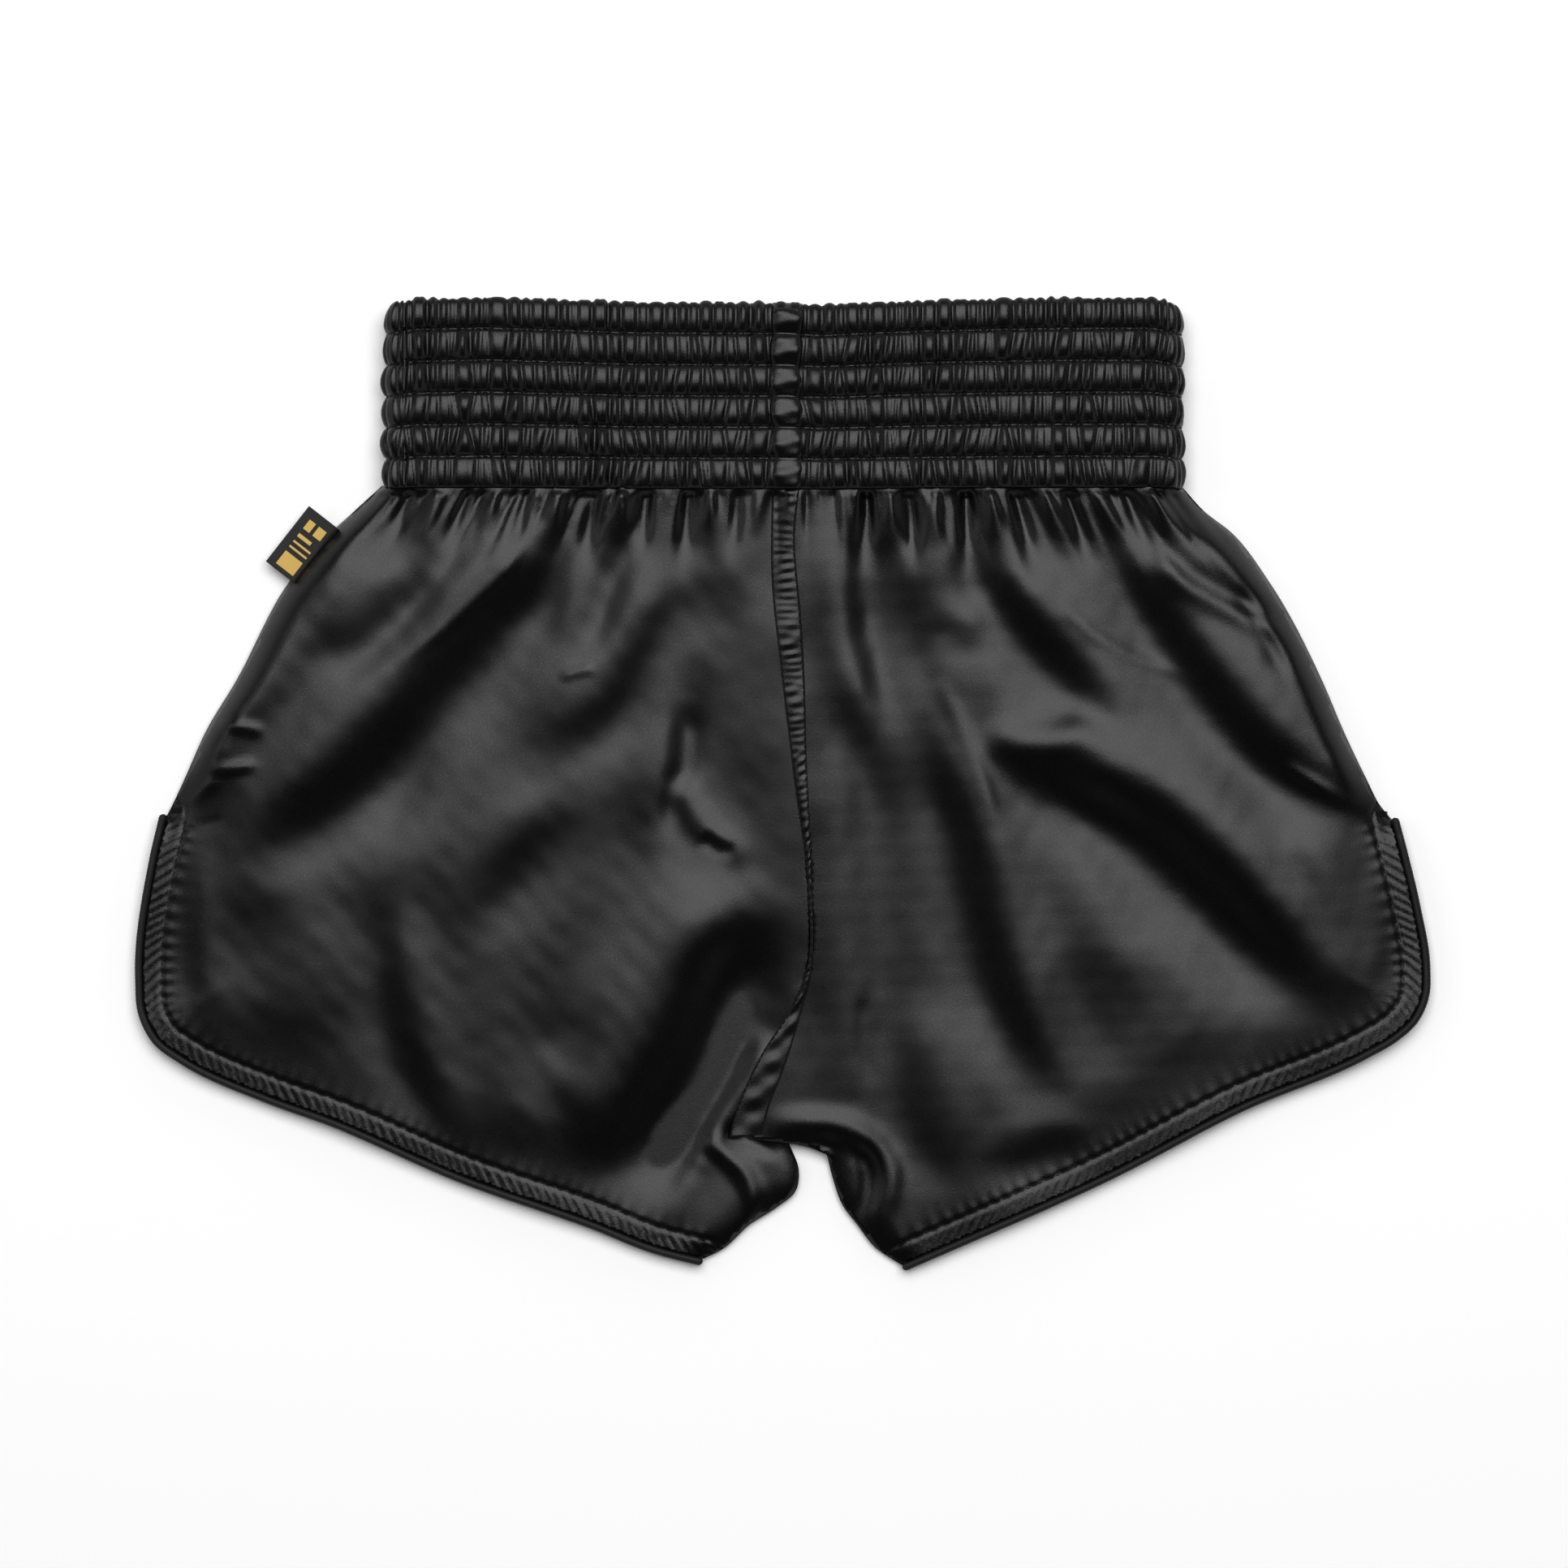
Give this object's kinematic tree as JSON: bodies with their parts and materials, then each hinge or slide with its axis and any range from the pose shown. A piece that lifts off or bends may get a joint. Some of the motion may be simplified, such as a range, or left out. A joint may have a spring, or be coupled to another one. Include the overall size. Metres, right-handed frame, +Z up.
{
  "type": "boxing shorts",
  "caption": "Black satin boxing shorts with a ruched elastic waistband, side slits and a corded hem, lying flat with the back uppermost.",
  "frame": {"origin": "On the table under the middle of the shorts, which lie on their front.", "axes": "X runs across the shorts from the left leg to the right leg, Y from the hems to the waist, Z up from the table."},
  "size_m": [0.5303, 0.399, 0.0187],
  "materials": {
    "satin": "satin",
    "piping_satin": "satin",
    "thread": "satin",
    "filler_cord": "matte",
    "elastic": "matte",
    "label_tape": "matte"
  },
  "bodies": {
    "root": {"back_left_panel": "satin", "back_left_piping": "piping_satin", "back_left_piping_core": "filler_cord", "back_left_hem_facing": "satin", "back_left_hem_stitching": "thread", "front_left_panel": "satin", "front_left_piping": "piping_satin", "front_left_piping_core": "filler_cord", "front_left_hem_facing": "satin", "front_left_hem_stitching": "thread", "left_side_seam": "satin", "left_inner_leg_seam": "satin", "back_right_panel": "satin", "back_right_piping": "piping_satin", "back_right_piping_core": "filler_cord", "back_right_hem_facing": "satin", "back_right_hem_stitching": "thread", "front_right_panel": "satin", "front_right_piping": "piping_satin", "front_right_piping_core": "filler_cord", "front_right_hem_facing": "satin", "front_right_hem_stitching": "thread", "right_side_seam": "satin", "right_inner_leg_seam": "satin", "centre_back_seam": "satin", "centre_front_seam": "satin", "slit_bartacks": "thread"},
    "waistband": {"waistband_casing": "satin", "waist_elastic_1": "elastic", "waist_elastic_2": "elastic", "waist_elastic_3": "elastic", "waist_elastic_4": "elastic", "waist_elastic_5": "elastic", "waist_elastic_6": "elastic", "waistband_stitching": "thread", "waist_seam_stitching": "thread", "waistband_back_strip": "satin"},
    "label": {"side_label": "label_tape"}
  },
  "joints": [
    {"name": "waistband_fold", "type": "hinge", "parent": "root", "child": "waistband", "pos_m": [0, 0.1212, 0.0184], "axis": [1, 0, 0], "range_deg": [0, 165]},
    {"name": "label_flap", "type": "hinge", "parent": "root", "child": "label", "pos_m": [-0.19219, 0.0945, 0.0059], "axis": [0.6151, 0.7885, 0], "range_deg": [-12, 125]}
  ]
}
